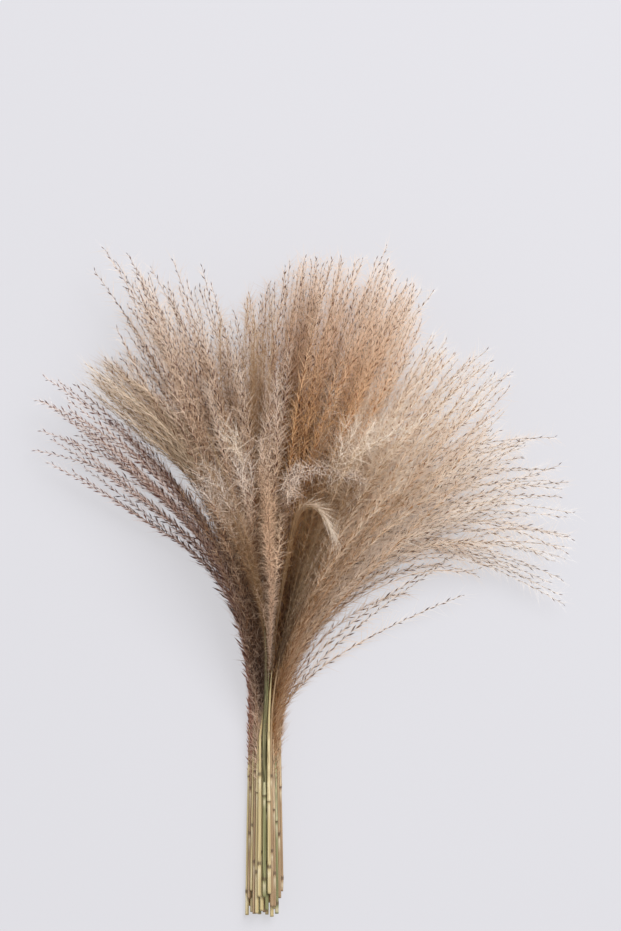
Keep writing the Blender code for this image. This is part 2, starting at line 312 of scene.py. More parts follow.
# The reeds that grow in a way of their own. Tone goes from 0, which is dark, to 1. Keep is how
# many of the seeds and hairs are grown, at shares of the plume. Curl is for a tip that turns over
# to the right: how far before and beyond the tip it goes, and how far it turns. Lone gives each
# branch its end from the middle of the bundle, how far it goes straight on first, and where it
# starts, as a share of the reed past the waist. The low tones of the reeds around the front spike,
# reed_top_2, are painted shade: on its left side, which is turned from the key light, and in the
# dark clefts between the plumes beside it.
ownWays = {
    "reed_bottom_1": {"lone": [(-172, 84, 12, 0.5, 0.3), (-168, 96, 14, 0.5, 0.4)]},
    "reed_bottom_2": {"lean": (-2, -10), "tone": (0.3, 0.0, 0.0, 0.2)},
    "reed_bottom_3": {"lean": (-8, 0), "strays": 0},
    "reed_bottom_4": {"lean": (12, 2), "strays": 0},
    "reed_bottom_5": {"tone": (0.4, 0.4, 0.9, 1.1)},
    "reed_bottom_7": {
        "ragged": 0.4, "spread": 1.0, "rise": (-4, 10), "Spikelet Every": 3.6,
        "Spikelet Wide": 0.8, "Hair Every": 0.75, "keep": ((0, 1), (1, 1)),
        "tone": (0.4, -0.3, -0.3, 0.2), "Spikelet Long": 5.6,
        "lone": [(83, 13, 18, 0.24, 0), (92, 20, 24, 0.3, 0), (95, -7, 12, 0.28, 0)],
    },
    "reed_lower_2": {
        "spread": 1.0, "rise": (6, 3),
        "lone": [(-165, 129, 30, 0.5, 0.5), (-170, 115, 26, 0.5, 0.45)],
    },
    "reed_lower_3": {
        "lone": [(-128, 209, 30, 0.5, 0), (-134, 195, 34, 0.5, 0), (-113, 205, 36, 0.5, 0)],
    },
    "reed_lower_4": {"cut": 32},
    # its low tone paints the shade in the cleft right of the front spike
    "reed_lower_5": {"tone": (0.2, -0.1, 0.1, 0.5)},
    "reed_lower_7": {"lean": (4, -10), "rise": (-3, 6)},
    "reed_lower_8": {
        "branches": 12, "ragged": 0.4, "spread": 1.0, "rise": (-5, 14), "Spikelet Every": 4.0,
        "Hair Every": 0.75, "keep": ((0, 1), (1, 1)), "tone": (0.4, -0.2, -0.2, 0.6),
        "Spikelet Long": 5.6,
        "lone": [
            (158, -12, 14, 0.95, 0), (155, -6, 16, 0.92, 0), (156, 4, 18, 0.9, 0),
            (148, 2, 22, 0.9, 0), (140, 10, 24, 0.85, 0), (128, 12, 26, 0.85, 0),
            (118, 50, 30, 0.5, 0),
        ],
    },
    "reed_lower_middle_2": {"lean": (-2, -12)},
    "reed_lower_middle_3": {
        "lean": (-8, 0), "strays": 0, "lone": [(-67, 197, 40, 0.5, 0), (-85, 201, 38, 0.5, 0)],
    },
    "reed_lower_middle_4": {"tone": (0.2, 0.0, 0.0, 0.5), "lean": (13, 0), "strays": 0},
    "reed_lower_middle_5": {"tone": (0.4, 0.5, 1.0, 1.2)},
    "reed_lower_middle_7": {
        "rise": (-4, 8),
        "lone": [(163, 45, 26, 0.76, 0), (155, 60, 32, 0.76, 0), (157, 30, 28, 0.8, 0)],
    },
    "reed_middle_1": {"spread": 1.0, "rise": (6, 3)},
    # its low tone paints the shade on the left side of the front spike
    "reed_middle_3": {"tone": (0.5, 0.2, 0.2, 0.9), "cut": 24, "lean": (6, 0), "strays": 0},
    # its low tone paints the shade in the cleft right of the front spike
    "reed_middle_4": {"tone": (0.2, -0.2, -0.2, 0.5), "toneAt": (0.05, 0.2, 0.7, 0.95)},
    "reed_middle_5": {
        "tone": (0.3, 0.1, 0.3, 0.8), "lone": [(68, 182, 56, 0.5, 0), (75, 181, 50, 0.5, 0)],
    },
    "reed_middle_6": {
        "lean": (4, -12), "rise": (-2, 6),
        "lone": [(151, 92, 44, 0.72, 0), (147, 72, 40, 0.74, 0)],
    },
    "reed_upper_middle_1": {"tone": (0.8, 0.2, 0.2, 0.6), "lean": (-2, -12)},
    # its low tone paints the shade on the left side of the front spike
    "reed_upper_middle_2": {"tone": (0.9, 0.1, 0.1, 0.6)},
    "reed_upper_middle_3": {
        "lean": (-14, 0), "cut": 14, "tone": (0.4, -0.3, -0.1, 0.2),
        "toneAt": (0.05, 0.2, 0.75, 0.9), "spread": 0.9, "loneLighter": 0.8, "sway": 4.0,
        "lone": [
            (-54, 97, 92, 0.25, 0.56), (-51, 101, 90, 0.25, 0.58), (-48, 92, 94, 0.25, 0.56),
            (-53, 91, 92, 0.25, 0.57), (-45, 95, 92, 0.3, 0.58), (-46, 86, 94, 0.3, 0.54),
        ],
    },
    "reed_upper_middle_4": {
        "branches": 18, "tone": (0.4, -0.2, 1.1, 1.1), "toneAt": (0.12, 0.34, 0.58, 0.85),
        "lone": [(47, 209, 58, 0.5, 0)],
    },
    "reed_upper_middle_5": {
        "tone": (0.2, 0.0, 0.2, 0.6), "lone": [(108, 145, 62, 0.5, 0), (123, 132, 58, 0.5, 0)],
    },
    # its low tone over its middle paints the shade on the left side of the front spike
    "reed_upper_1": {
        "branches": 16, "rounding": 0.4, "spread": 1.0, "Hair Every": 0.8, "Hair Long": 8.0,
        "Hair Splay": (12, 74), "tone": (1.2, 0.0, 0.05, 0.8), "toneAt": (0.15, 0.3, 0.55, 0.85),
    },
    # its low tone paints the shade on the left side of the front spike
    "reed_upper_2": {
        "start": (-20, -16), "tone": (1.2, -0.4, 0.0, 0.5), "toneAt": (0.06, 0.18, 0.55, 0.85),
        "Hair Every": 0.6, "loneLighter": 1.0,
        "lone": [
            (-69, 70, 84, 0.4, 0.38), (-66, 76, 86, 0.4, 0.4), (-62, 67, 90, 0.4, 0.38),
            (-70, 63, 84, 0.4, 0.36), (-58, 72, 90, 0.4, 0.4), (-64, 58, 88, 0.4, 0.34),
            (-56, 63, 92, 0.4, 0.36), (-46, 78, 92, 0.3, 0.5), (-41, 81, 92, 0.3, 0.52),
            (-36, 76, 93, 0.3, 0.52), (-43, 71, 94, 0.3, 0.5),
        ],
    },
    # its dark lower part paints the shade in the cleft beside the front spike
    "reed_upper_3": {
        "start": (22, 26), "branches": 8, "springOver": 0.1, "spread": 0.3, "rounding": 0.04,
        "ragged": 0.05, "sway": 2.0, "Spikelet Every": 5.0, "Hair Every": 0.6, "Hair Long": 8.5,
        "Hair Wide": 0.5, "Hair Splay": (20, 95), "tone": (-0.4, -0.4, 0.95, 0.95),
        "toneAt": (0, 0.81, 0.86, 1), "curl": (13, -7, 90),
        "swell": ((0.8, 0.9, 1), (0.4, 1, 0.8)),
        "lone": [(33, 66, 82, 0.42, 0.92), (35, 63, 80, 0.44, 0.9), (30, 68, 84, 0.4, 0.94)],
    },
    "reed_upper_4": {
        "start": (24, 28), "branches": 22, "springOver": 0.5, "spread": 1.4, "sway": 16.0,
        "strays": 0, "Hair Every": 0.56, "Hair Long": 12.0, "Hair Wide": 0.38,
        "Hair Splay": (6, 84), "tone": (-0.3, -0.25, 0.65, 1.1), "lean": (-6, 4),
        "toneAt": (0, 0.66, 0.86, 1), "swell": ((0.5, 0.72), (0.5, 1)), "loneLighter": 0.3,
        "lone": [
            (57, 97, 94, 0.45, 0.7), (36, 92, 94, 0.4, 0.62), (44, 104, 92, 0.45, 0.66),
            (28, 99, 92, 0.4, 0.62), (20, 88, 92, 0.4, 0.58),
        ],
    },
    "reed_top_1": {
        "start": (-10, -6), "branches": 10, "springOver": 0.5, "spread": 0.55, "rounding": 0.25,
        "sway": 4.0, "lean": (-13, 3), "rise": (12, 0), "Hair Every": 0.45, "Hair Long": 8.0,
        "Hair Wide": 0.34, "Hair Splay": (18, 80), "tone": (1.0, -0.4, -0.4, 0.1),
        "toneAt": (0.06, 0.18, 0.5, 0.72), "keep": ((0, 1), (1, 1)),
        "swell": ((0.05, 0.15, 0.5, 0.65), (0.8, 0.5, 0.6, 1)),
    },
    "reed_top_2": {
        "start": (18, 22), "branches": 11, "springOver": 0.7, "spread": 0.4, "rounding": 0.5,
        "sway": 4.0, "Spikelet Every": 4.6, "Spikelet Splay": (20, 60), "Hair Every": 0.4,
        "Hair Long": 9.0, "Hair Wide": 0.34, "Hair Splay": (10, 84), "tone": (1.2, 1.3, 1.3, 1.0),
        "keep": ((0, 1), (1, 1)), "rise": (6, 0), "lean": (-4, 0),
        "swell": (
            (0, 0.27, 0.4, 0.5, 0.6, 0.7, 0.84, 0.92, 1),
            (0.5, 0.6, 0.85, 0.95, 0.75, 0.6, 0.85, 1.05, 0.8),
        ),
    },
    "reed_top_3": {
        # its dark lower part paints the shade in the cleft beside the front spike
        "start": (22, 26), "branches": 7, "springOver": 0.1, "spread": 0.22, "rounding": 0.06,
        "ragged": 0.25, "sway": 0.6, "Spikelet Every": 12.0, "Hair Every": 0.8, "Hair Long": 12.5,
        "Hair Wide": 0.36, "Hair Splay": (1, 18), "tone": (-0.4, -0.4, 1.0, 1.0),
        "toneAt": (0, 0.75, 0.8, 1), "curl": (34, 12, 142), "lean": (-7, 0),
        "swell": ((0.74, 0.84), (0.4, 1)),
    },
}
branch = {
    "points": 18,
    "foot": 0.40,  # how thick it is there
    "tip": 0.23,
    "segment": 9.0,
    "turnBy": 0.6,  # in radians, as is rollBy
    "rollBy": 0.45,
    "sooner": 0.7,  # how much sooner the outer ones leave the stem
    "raggedPower": 1.5,  # above one, fewer of them end much sooner
    "pastEnd": 4.0,
    "strayBy": 1.6,  # times the room of the others
    "opensBy": (0.4, 0.85),  # the share of its length at which it stands as far off as it will
    "waves": (2, 6),  # in radians over its length
    "wave": 0.3,  # shares of sway, as are the next two
    "swayUp": 0.7,
    "droop": 0.6,
    "sizes": ((0, 0.1, 0.8, 1), (0.75, 0.95, 1.1, 0.8)),  # of its seeds and hairs, along it
}
# How light a branch is, from 0 to 1: so much of its reed's tone, so much by chance, and a shift.
# A reed without a tone of its own has one between two limits, times a factor at each place. The
# lower factors near the foot give the plume a darker foot, partly its own colour and partly
# painted shade where the plumes crowd together.
lightness = {
    "ofReed": 0.65, "byChance": 0.5, "shift": -0.075,
    "usual": (0.2, 0.8), "factors": (0.6, 0.8, 1.0, 1.0),
}
# Where the plumes lie over each other, only a share of the seeds and hairs is grown: the shares of
# the plume, and how many are kept there, for the rows that others cover and for those above.
coveredRows = ("reed_bottom", "reed_lower")
covered = ((0.35, 0.6, 0.9), (0.22, 0.75, 1.0))
uncovered = ((0.25, 0.5, 0.9), (0.42, 0.78, 1.0))
clearOfFloor = 0.6 * mm
flatOver = 4 * mm  # what would reach this much deeper lies at about a third of that height
# The outline of the fan from above: how far tips reach from the waist, in each direction.
outline = {
    "waist": (-27.8, -96.4),
    "degrees": (
        28, 30, 33, 35, 40, 43, 46, 48, 50.5, 53.5, 55.5, 60, 66, 69, 71, 75, 77, 81, 88, 90, 92.5,
        95, 98, 102, 104, 107, 108.8, 110.5, 118, 121, 123,
    ),
    "reach": (
        300, 231, 231, 300, 300, 250, 263, 250, 240, 238, 270, 272, 270, 272, 294, 303, 309, 304,
        298, 284, 279, 269, 290, 297, 309, 316, 284, 256, 255, 260, 400,
    ),
    "ragged": 10.0,
}
curling = {  # how such a tip goes over
    "turnedBy": 0.6,  # the share of the way at which it has turned
    "rises": 0.5,  # how steep it is at first
    "bowsOver": 2.4,  # in radians, so that it comes down again
}


def curlTip(reed, before, beyond, turn):
    # the tip goes over a low hump, to the right and back down
    reed.length += beyond * mm
    first = np.searchsorted(reed.stations, reed.length - (before + beyond) * mm)
    centre, ahead, side, _ = reed.at(reed.stations[first])
    share = (reed.stations[first:] - reed.stations[first]) / ((before + beyond) * mm)
    turned = np.radians(turn) * smooth(share / curling["turnedBy"])
    stride = ahead * np.cos(turned)[:, None] + side * np.sin(turned)[:, None]
    stride[:, 2] = curling["rises"] * np.cos(share * curling["bowsOver"])
    reed.centres[first:] = centre + np.cumsum(unit(stride), axis=0) * reading["step"]


def growBranches(reed, habit, draw):
    reed.plumeStart = reed.waist + draw.uniform(*habit["start"]) * mm
    usualTone = draw.uniform(*lightness["usual"]) * np.array(lightness["factors"])
    tone = habit.get("tone", usualTone)
    reed.length -= habit["cut"] * mm
    past = np.clip((reed.stations - reed.waist) / (reed.length - reed.waist), 0, 1.2)
    for key, weight in (("lean", smooth(past)), ("rise", np.sin(past * math.pi))):
        reed.centres = reed.centres + np.outer(weight, np.append(habit[key], 0)) * mm
    if "curl" in habit:
        curlTip(reed, *habit["curl"])
    plume = reed.length - reed.plumeStart
    room = np.maximum.accumulate(reed.halves, axis=0) * habit["spread"]
    sway = habit["sway"] * mm
    keep = habit.get("keep", covered if reed.name.startswith(coveredRows) else uncovered)
    share = np.linspace(0, 1, branch["points"])
    thickness = branch["foot"] + (branch["tip"] - branch["foot"]) * share
    branches = []

    def addBranch(points, along, lighter=0.0):
        points[:, 2] = np.maximum(points[:, 2], clearOfFloor)
        past = np.clip((along - reed.plumeStart) / plume, 0, 1)
        own = lightness["ofReed"] * np.interp(past, habit["toneAt"], tone)
        branches.append({
            "points": points,
            "along": past,
            "own": own + lightness["byChance"] * draw.random() + lightness["shift"] + lighter,
            "roll": np.full(len(share), draw.normal() * branch["rollBy"]),
            "girth": thickness * mm / 2,
            "size": np.interp(past, *habit["swell"]) * np.interp(share, *branch["sizes"]),
            "keep": np.interp(past, *keep),
        })

    for number in range(habit["branches"]):
        out = math.sqrt((number + 0.5) / habit["branches"])
        turn = goldenAngle * number + draw.uniform(-branch["turnBy"], branch["turnBy"])
        spring = plume * habit["springOver"] * (1 - branch["sooner"] * out)
        start = reed.plumeStart + spring * draw.random()
        ragged = habit["ragged"] * draw.random() ** branch["raggedPower"]
        short = habit["rounding"] * out ** 2 + ragged
        end = reed.length - plume * short + branch["pastEnd"] * mm
        along = start + (end - start) * share
        if draw.random() < habit["strays"]:
            out *= branch["strayBy"]
        centre, _, side, above = reed.at(along)
        half = columnsAt(along, reed.stations, room)
        opening = smooth(share / draw.uniform(*branch["opensBy"])) * out
        bends = []
        for _ in range(2):
            bend = draw.normal() * share ** 2
            wave = branch["wave"] * draw.normal() * np.sin(share * draw.uniform(*branch["waves"]))
            bends.append(sway * (bend + wave * share))
        across = math.cos(turn) * opening * half[:, 0] + bends[0]
        upward = math.sin(turn) * opening * half[:, 1] + branch["swayUp"] * bends[1]
        upward = upward - branch["droop"] * sway * share ** 3
        points = centre + side * across[:, None] + above * upward[:, None]
        # what would pass the outline ends sooner
        x, y = points[-1, :2] / mm - outline["waist"]
        direction = math.degrees(math.atan2(y, x))
        over = math.hypot(x, y) - np.interp(direction, outline["degrees"], outline["reach"])
        if over > 0:
            over += outline["ragged"] * (number * goldenShare % 1)
            kept = share * (1 - over * mm / (along[-1] - along[0]))
            points, along = columnsAt(kept, share, points), np.interp(kept, share, along)
        addBranch(points, along)

    for *end, straight, leavesAt in habit["lone"]:
        # it bends away in one even curve
        begin = reed.waist + (reed.length - reed.waist) * leavesAt
        centre, ahead, _, _ = reed.at(begin)
        far = np.array(end) * mm
        bend = centre + ahead * straight * np.linalg.norm(far - centre)
        t = share[:, None]
        curve = (1 - t) ** 2 * centre + 2 * t * (1 - t) * bend + t ** 2 * far
        along = begin + (reed.length - begin) * share
        addBranch(curve, along, habit["loneLighter"] * smooth(share * 2))
    return branches


guideValues = ("along", "own", "roll", "girth", "size", "keep")


def guideMesh(name, branches):
    mesh = bpy.data.meshes.new(name)
    count = branch["points"]
    points = np.concatenate([one["points"] for one in branches])
    starts = range(0, len(points), count)
    edges = [(first + i, first + i + 1) for first in starts for i in range(count - 1)]
    mesh.from_pydata(points.tolist(), edges, [])
    for key in guideValues:
        column = np.concatenate([one[key] for one in branches]).astype(np.float32)
        mesh.attributes.new(key, "FLOAT", "POINT").data.foreach_set("value", column)
    return mesh


# One tree grows a plume along its guides: the branches, then spikelets and hairs along them.
# The map that it stores runs along the plume one way. The other way it has three bands, for
# branches, spikelets and hairs, and in each band every strand has a place of its own.
bands = {"Branch": (0.02, 0.28), "Spikelet": (0.35, 0.62), "Hair": (0.69, 0.98)}
patch = 0.012  # the room that one face takes in the map
branchShare = 0.6  # how much of a strand's tone is its branch's, the rest being its own
seedForm = {"Segments": 3, "Rings": 2, "Radius": 0.5}
hairForm = {"Vertices": 3, "Radius Top": 0.0, "Radius Bottom": 0.5, "Depth": 1.0}
strands = {  # its form, how far that is lifted, how far each turns from the last, and how loosely
    "Spikelet": ("GeometryNodeMeshUVSphere", seedForm, 0.5, math.pi, 0.5),
    "Hair": ("GeometryNodeMeshCone", hairForm, 0.0, 0.0, math.pi),
}
sizeByChance = (0.6, 1.25)
tipFrom, tipTo = 0.3, 0.9  # the shares of the plume over which strands change towards the tip
towardsTip = {"Spikelet": (0.75, 1.05, 1.0), "Hair": (1.35, 0.6, 1.45)}  # long, wide and splayed


def storeBand(tree, geometry, kind):
    low, high = bands[kind]
    own = addNode(tree, "GeometryNodeInputNamedAttribute", {"Name": "own"}).outputs[0]
    spot = addNode(
        tree, "ShaderNodeMapRange", {"Value": own, "To Min": low, "To Max": high}).outputs[0]
    return addNode(tree, "GeometryNodeStoreNamedAttribute", {
        "Geometry": geometry, "Name": "band", "Value": spot}).outputs[0]


def buildPlumeTree():
    tree = bpy.data.node_groups.new("growPlume", "GeometryNodeTree")
    sockets = {"Guides": "Geometry"}
    for part in strands:
        for size in ("Every", "Long", "Wide", "Splay From", "Splay To"):
            sockets[f"{part} {size}"] = "Float"
    sockets.update({"Branch Segment": "Float", "Random Seed": "Int", "Finish": "Material"})
    for name, kind in sockets.items():
        tree.interface.new_socket(name, in_out="INPUT", socket_type="NodeSocket" + kind)
    tree.interface.new_socket("Plume", in_out="OUTPUT", socket_type="NodeSocketGeometry")
    given = addNode(tree, "NodeGroupInput").outputs
    index = addNode(tree, "GeometryNodeInputIndex").outputs[0]
    curves = addNode(tree, "GeometryNodeMeshToCurve", {"Mesh": given["Guides"]}).outputs[0]
    girth, size, own, roll, along, band, keep = [
        addNode(tree, "GeometryNodeInputNamedAttribute", {"Name": name}).outputs[0]
        for name in ("girth", "size", "own", "roll", "along", "band", "keep")]
    together = addNode(tree, "GeometryNodeJoinGeometry")

    # the branches are three-sided and get thinner towards the tip
    spans = addNode(
        tree, "GeometryNodeResampleCurve",
        {"Curve": curves, "Length": given["Branch Segment"]}, mode="LENGTH").outputs[0]
    section = addNode(
        tree, "GeometryNodeCurvePrimitiveCircle", {"Resolution": 3, "Radius": 1.0}).outputs[0]
    branches = addNode(tree, "GeometryNodeCurveToMesh", {
        "Curve": spans, "Profile Curve": section, "Scale": girth, "Fill Caps": True}).outputs[0]
    tree.links.new(storeBand(tree, branches, "Branch"), together.inputs[0])

    # what is drawn for each strand: its tone, size, side and splay, and if it is grown at all
    chances = ((0.0, 1 - branchShare), sizeByChance, (-1.0, 1.0), (0.0, 1.0), (0.0, 1.0))
    for stage, (part, (kind, form, lift, alternate, loose)) in enumerate(strands.items()):
        spots = addNode(
            tree, "GeometryNodeCurveToPoints",
            {"Curve": curves, "Length": given[f"{part} Every"]}, mode="LENGTH").outputs
        drawn = []
        for number, (low, high) in enumerate(chances):
            seed = addNode(tree, "ShaderNodeMath", {
                0: given["Random Seed"], 1: 10 * stage + number}).outputs[0]
            drawn.append(addNode(tree, "FunctionNodeRandomValue", {
                2: low, 3: high, "ID": index, "Seed": seed}).outputs[1])
        ownTone, ownSize, ownSide, ownSplay, luck = drawn
        mixed = addNode(
            tree, "ShaderNodeMath", {0: own, 1: branchShare, 2: ownTone},
            operation="MULTIPLY_ADD").outputs[0]
        points = addNode(tree, "GeometryNodeStoreNamedAttribute", {
            "Geometry": spots["Points"], "Name": "own", "Value": mixed}).outputs[0]

        # the strand points along its branch, splayed out, and turned to its own side of it
        ahead = addNode(
            tree, "FunctionNodeAlignRotationToVector", {"Vector": spots["Tangent"]},
            axis="Z").outputs[0]
        level = addNode(
            tree, "FunctionNodeAlignRotationToVector", {"Rotation": ahead, "Vector": (0, 0, 1)},
            axis="Y", pivot_axis="Z").outputs[0]
        side = addNode(tree, "ShaderNodeMath", {0: index, 1: 2.0}, operation="MODULO").outputs[0]
        side = addNode(
            tree, "ShaderNodeMath", {0: side, 1: alternate, 2: roll},
            operation="MULTIPLY_ADD").outputs[0]
        side = addNode(
            tree, "ShaderNodeMath", {0: ownSide, 1: loose, 2: side},
            operation="MULTIPLY_ADD").outputs[0]
        longer, wider, wilder = [
            addNode(tree, "ShaderNodeMapRange", {
                "Value": along, "From Min": tipFrom, "From Max": tipTo, "To Min": 1.0,
                "To Max": last}).outputs[0]
            for last in towardsTip[part]]
        splay = addNode(tree, "ShaderNodeMapRange", {
            "Value": ownSplay, "To Min": given[f"{part} Splay From"],
            "To Max": given[f"{part} Splay To"]}).outputs[0]
        splay = addNode(
            tree, "ShaderNodeMath", {0: splay, 1: wilder}, operation="MULTIPLY").outputs[0]
        euler = addNode(tree, "ShaderNodeCombineXYZ", {"Y": splay, "Z": side}).outputs[0]
        turned = addNode(tree, "FunctionNodeEulerToRotation", {"Euler": euler}).outputs[0]
        rotation = addNode(
            tree, "FunctionNodeRotateRotation", {"Rotation": level, "Rotate By": turned},
            rotation_space="LOCAL").outputs[0]
        grown = addNode(
            tree, "ShaderNodeMath", {0: size, 1: ownSize}, operation="MULTIPLY").outputs[0]
        sizes = []
        for way, times in (("Long", longer), ("Wide", wider)):
            times = addNode(
                tree, "ShaderNodeMath", {0: grown, 1: times}, operation="MULTIPLY").outputs[0]
            sizes.append(addNode(
                tree, "ShaderNodeMath", {0: given[f"{part} {way}"], 1: times},
                operation="MULTIPLY").outputs[0])
        long, wide = sizes
        scale = addNode(tree, "ShaderNodeCombineXYZ", {"X": wide, "Y": wide, "Z": long}).outputs[0]

        shape = addNode(tree, kind, form).outputs[0]
        shape = addNode(tree, "GeometryNodeTransform", {
            "Geometry": shape, "Translation": (0, 0, lift)}).outputs[0]
        kept = addNode(
            tree, "FunctionNodeCompare", {0: luck, 1: keep}, operation="LESS_EQUAL").outputs[0]
        strewn = addNode(tree, "GeometryNodeInstanceOnPoints", {
            "Points": points, "Selection": kept, "Instance": shape, "Rotation": rotation,
            "Scale": scale}).outputs[0]
        strewn = addNode(tree, "GeometryNodeRealizeInstances", {"Geometry": strewn}).outputs[0]
        tree.links.new(storeBand(tree, strewn, part), together.inputs[0])

    # each corner of a face has its own spot in the patch, so that no face has zero width in the map
    places = []
    for value, stride in ((along, 1 - goldenShare), (band, goldenShare)):
        corner = addNode(
            tree, "ShaderNodeMath", {0: index, 1: stride}, operation="MULTIPLY").outputs[0]
        corner = addNode(tree, "ShaderNodeMath", {0: corner}, operation="FRACT").outputs[0]
        places.append(addNode(
            tree, "ShaderNodeMath", {0: corner, 1: patch, 2: value},
            operation="MULTIPLY_ADD", use_clamp=True).outputs[0])
    place = addNode(tree, "ShaderNodeCombineXYZ", {"X": places[0], "Y": places[1]}).outputs[0]
    mapped = addNode(
        tree, "GeometryNodeStoreNamedAttribute",
        {"Geometry": together.outputs[0], "Name": "OFBake", "Value": place},
        data_type="FLOAT2", domain="CORNER").outputs[0]
    whole = addNode(tree, "GeometryNodeRealizeInstances", {"Geometry": mapped}).outputs[0]
    whole = addNode(tree, "GeometryNodeSetMaterial", {
        "Geometry": whole, "Material": given["Finish"]}).outputs[0]
    addNode(tree, "NodeGroupOutput", {0: whole})
    return tree


def grown(source, tree, values):
    grow = source.modifiers.new("grow", "NODES")
    grow.node_group = tree
    for item in tree.interface.items_tree:
        if item.name in values:
            grow[item.identifier] = values[item.name]
    finished = source.evaluated_get(bpy.context.evaluated_depsgraph_get())
    mesh = bpy.data.meshes.new_from_object(finished)
    bpy.data.objects.remove(source)
    for spare in (*guideValues, "band"):
        if spare in mesh.attributes:
            mesh.attributes.remove(mesh.attributes[spare])
    return mesh


# The colours of each kind of reed at the foot of the plume, at its middle and at its tip: the
# darkest and the lightest of its branches, of its seeds and of its hairs. From foot to tip they go
# from dark and deep to pale. This is partly the reed's own colour and partly painted light:
# painted shade where the plumes crowd together at the foot, and a painted bright rim where light
# shines through the near-white hair tips.
tones = {
    "purple_brown_reed": (
        (("#664433", "#b1896c"), ("#2e1510", "#935e4a"), ("#9a6a52", "#eec4ac")),
        (("#845d46", "#cba080"), ("#311817", "#845345"), ("#cca792", "#fae6da")),
        (("#8f6951", "#d3ab8d"), ("#2f191b", "#734c43"), ("#ddbfae", "#fcf1ea")),
    ),
    "dusky_buff_reed": (
        (("#4d3119", "#9d7653"), ("#23100a", "#66412c"), ("#4d2f1b", "#e6c8ae")),
        (("#573825", "#9c755a"), ("#2e1610", "#6c452f"), ("#986c46", "#f8d9b8")),
        (("#5e4133", "#9b7b6b"), ("#241011", "#593730"), ("#dcbfa4", "#fdf0e2")),
    ),
    "buff_reed": (
        (("#523b1f", "#a4865a"), ("#342110", "#7f5a33"), ("#47301b", "#c6a87f")),
        (("#695031", "#ab8f67"), ("#382414", "#805e3e"), ("#826445", "#e9d3b6")),
        (("#755b3b", "#af956e"), ("#392416", "#7f5f43"), ("#a08060", "#fbead6")),
    ),
    "golden_reed": (
        (("#5f3313", "#ad7b46"), ("#2c1406", "#744523"), ("#3e1f09", "#dea664")),
        (("#5f371e", "#a37447"), ("#44220f", "#8e5a2e"), ("#946740", "#eabb88")),
        (("#5c402d", "#937457"), ("#210f0e", "#523327"), ("#d8b594", "#fce9d7")),
    ),
    "pale_golden_reed": (
        (("#7e5020", "#c8a266"), ("#502f15", "#b07b48"), ("#94643a", "#ecc69c")),
        (("#8a643a", "#cca878"), ("#643a18", "#b07c42"), ("#deb68e", "#fdf1de")),
        (("#86653f", "#c09f74"), ("#3e261b", "#7e5c46"), ("#eed4bc", "#fdf7ef")),
    ),
    "pale_reed": (
        (("#8d683e", "#d6b485"), ("#52351f", "#af8359"), ("#9a704a", "#f2d4b2")),
        (("#98754f", "#d6b88a"), ("#42291b", "#86603f"), ("#e9ceb4", "#fdf6ec")),
        (("#947552", "#ceb286"), ("#38241c", "#6e4f3c"), ("#f4e2d0", "#fdfaf6")),
    ),
    "cream_reed": (
        (("#553a1e", "#c0a070"), ("#4c3015", "#ab8152"), ("#36240f", "#dcbe98")),
        (("#896a44", "#d0b285"), ("#604126", "#bc9469"), ("#8c6845", "#efd3b2")),
        (("#9f7e54", "#dac195"), ("#6b4c2e", "#c6a278"), ("#ad8c6a", "#fdf2e3")),
    ),
}
turnsOver = ((0.2, 0.6), (0.68, 0.98))  # the shares of the plume where each becomes the next
darkestAt, lightestAt = 0.22, 0.78  # in each band of the map
silk = {"Roughness": 0.7, "Sheen Weight": 0.06, "Specular IOR Level": 0.25}


def plumeMaterial(slot):
    # dry reed flower: silky, so it is soft in gloss with a pale sheen at the edges of the plume
    material, tree, surface = newMaterial("dryReedFlower_" + slot, silk)
    place = addNode(tree, "ShaderNodeUVMap", uv_map="OFBake").outputs[0]
    place = addNode(tree, "ShaderNodeSeparateXYZ", {0: place}).outputs
    spots = [low + (high - low) * share
             for low, high in bands.values() for share in (darkestAt, lightestAt)]
    shades = []
    for stage in tones[slot]:
        ramp = addNode(tree, "ShaderNodeValToRGB", {"Fac": place["Y"]})
        stops = ramp.color_ramp.elements
        while len(stops) < len(spots):
            stops.new(0.5)
        colours = [colour for pair in stage for colour in pair]
        for stop, spot, colour in zip(stops, spots, colours):
            stop.position = spot
            stop.color = linear(colour)
        shades.append(ramp.outputs["Color"])
    colour = shades[0]
    for (first, last), following in zip(turnsOver, shades[1:]):
        along = addNode(
            tree, "ShaderNodeMapRange",
            {"Value": place["X"], "From Min": first, "From Max": last}).outputs[0]
        colour = addNode(
            tree, "ShaderNodeMix", {0: along, 6: colour, 7: following}, data_type="RGBA").outputs[2]
    tree.links.new(colour, surface.inputs["Base Color"])
    return material


def layOnFloor(mesh):
    # what would reach through the surface lies down on it instead
    places = np.empty(len(mesh.vertices) * 3, np.float32)
    mesh.vertices.foreach_get("co", places)
    height = places[2::3]
    low = height < clearOfFloor
    height[low] = clearOfFloor * np.exp((height[low] - clearOfFloor) / flatOver)
    mesh.vertices.foreach_set("co", places)
    mesh.update()


def addPiece(reed, part, mesh):
    piece = addObject(f"{reed.name}_{part}", mesh)
    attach(piece, "root")
    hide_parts(reed.name)
    return piece


def buildPlume(reed, tree, finish, draw):
    habit = {**usualWay, **habits[reed.slot], **ownWays.get(reed.name, {})}
    guides = guideMesh(reed.name + "_guides", growBranches(reed, habit, draw))
    source = addObject(reed.name + "_guides", guides)
    seed = int(draw.integers(1000)) * 20  # each plume takes the twenty from here
    values = {"Branch Segment": branch["segment"] * mm, "Random Seed": seed, "Finish": finish}
    for part in strands:
        for way in ("Every", "Long", "Wide"):
            values[f"{part} {way}"] = habit[f"{part} {way}"] * mm
        low, high = habit[f"{part} Splay"]
        values[f"{part} Splay From"] = math.radians(low)
        values[f"{part} Splay To"] = math.radians(high)
    mesh = grown(source, tree, values)
    layOnFloor(mesh)
    return addPiece(reed, "plume", mesh)


